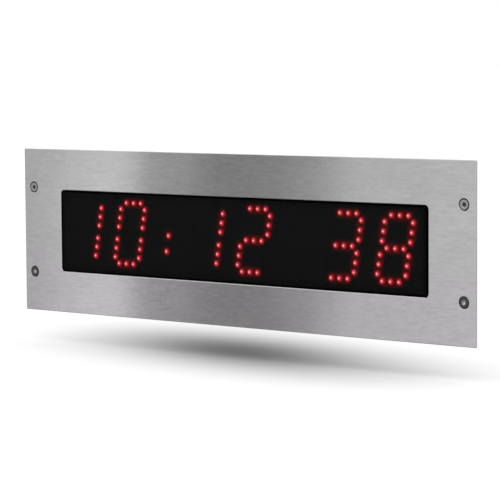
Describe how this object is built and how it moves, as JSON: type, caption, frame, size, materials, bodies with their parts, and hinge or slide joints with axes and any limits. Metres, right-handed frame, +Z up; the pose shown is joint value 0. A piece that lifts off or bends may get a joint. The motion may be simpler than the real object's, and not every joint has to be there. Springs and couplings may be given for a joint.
{
  "type": "flush-mounted digital wall clock",
  "caption": "Wide brushed steel wall clock set flush into a wall, with a smoked window over slanted dot-diode digits for hours, minutes and seconds, and a stepped electronics case behind.",
  "frame": {"origin": "centre of the wall opening, in the plane of the wall's face, which the seal's rear face and the frame's lugs lie on", "axes": "+X to the right as the clock is read, +Y back into the wall, +Z up; the front panel's face looks along -Y, 5 mm in front of the wall"},
  "size_m": [0.44, 0.0438, 0.13],
  "materials": {
    "stainless": "horizontal brush",
    "zinc": "satin zinc plating",
    "smoked": "fine matte smoked acrylic",
    "rubber": "matte",
    "mask_black": "matte",
    "case_plastic": "fine moulded texture",
    "board_green": "solder mask",
    "led_red": "clear red lens",
    "package_black": "moulded",
    "terminal_green": "moulded",
    "release_orange": "moulded",
    "button_grey": "moulded",
    "ribbon_grey": "flat cable",
    "glass": "clear tube with metal ends"
  },
  "bodies": {
    "clock": {"front_panel": "stainless", "upper_left_panel_screw": "stainless", "lower_left_panel_screw": "stainless", "upper_right_panel_screw": "stainless", "lower_right_panel_screw": "stainless", "backup_cell": "stainless", "wall_frame": "zinc", "clock_crystal": "zinc", "network_socket": "zinc", "clamp_screw": "zinc", "upper_left_weld_stud": "zinc", "upper_right_weld_stud": "zinc", "lower_left_weld_stud": "zinc", "lower_right_weld_stud": "zinc", "upper_left_stud_nut": "zinc", "upper_right_stud_nut": "zinc", "lower_left_stud_nut": "zinc", "lower_right_stud_nut": "zinc", "upper_left_frame_nut": "zinc", "upper_right_frame_nut": "zinc", "lower_left_frame_nut": "zinc", "lower_right_frame_nut": "zinc", "upper_left_cover_screw": "zinc", "upper_right_cover_screw": "zinc", "lower_left_cover_screw": "zinc", "lower_right_cover_screw": "zinc", "window": "smoked", "window_gasket": "rubber", "wall_seal": "rubber", "display_mask": "mask_black", "case_body": "case_plastic", "rear_cover": "case_plastic", "cable_clamp": "case_plastic", "display_board": "board_green", "control_board": "board_green", "hours_tens_diodes": "led_red", "hours_units_diodes": "led_red", "minutes_tens_diodes": "led_red", "minutes_units_diodes": "led_red", "seconds_tens_diodes": "led_red", "seconds_units_diodes": "led_red", "colon_diodes": "led_red", "power_module": "package_black", "fuse_holder": "package_black", "smoothing_capacitor": "package_black", "processor": "package_black", "battery_holder": "package_black", "mode_switch": "package_black", "adjust_switch": "package_black", "mains_terminal": "terminal_green", "signal_terminal": "terminal_green", "display_ribbon": "ribbon_grey", "fuse": "glass"},
    "mode_button": {"mode_button": "button_grey"},
    "adjust_button": {"adjust_button": "button_grey"},
    "earth_release": {"earth_release": "release_orange"},
    "neutral_release": {"neutral_release": "release_orange"},
    "live_release": {"live_release": "release_orange"},
    "minus_release": {"minus_release": "release_orange"},
    "plus_release": {"plus_release": "release_orange"}
  },
  "joints": [
    {"name": "mode_button_press", "type": "slide", "parent": "clock", "child": "mode_button", "axis": [0, -1, 0], "range_m": [0, 0.0012], "stiffness_N_per_m": 1500},
    {"name": "adjust_button_press", "type": "slide", "parent": "clock", "child": "adjust_button", "axis": [0, -1, 0], "range_m": [0, 0.0012], "stiffness_N_per_m": 1500},
    {"name": "earth_release_press", "type": "slide", "parent": "clock", "child": "earth_release", "axis": [1, 0, 0], "range_m": [0, 0.0012], "stiffness_N_per_m": 4000},
    {"name": "neutral_release_press", "type": "slide", "parent": "clock", "child": "neutral_release", "axis": [1, 0, 0], "range_m": [0, 0.0012], "stiffness_N_per_m": 4000},
    {"name": "live_release_press", "type": "slide", "parent": "clock", "child": "live_release", "axis": [1, 0, 0], "range_m": [0, 0.0012], "stiffness_N_per_m": 4000},
    {"name": "minus_release_press", "type": "slide", "parent": "clock", "child": "minus_release", "axis": [1, 0, 0], "range_m": [0, 0.0012], "stiffness_N_per_m": 4000},
    {"name": "plus_release_press", "type": "slide", "parent": "clock", "child": "plus_release", "axis": [1, 0, 0], "range_m": [0, 0.0012], "stiffness_N_per_m": 4000}
  ]
}
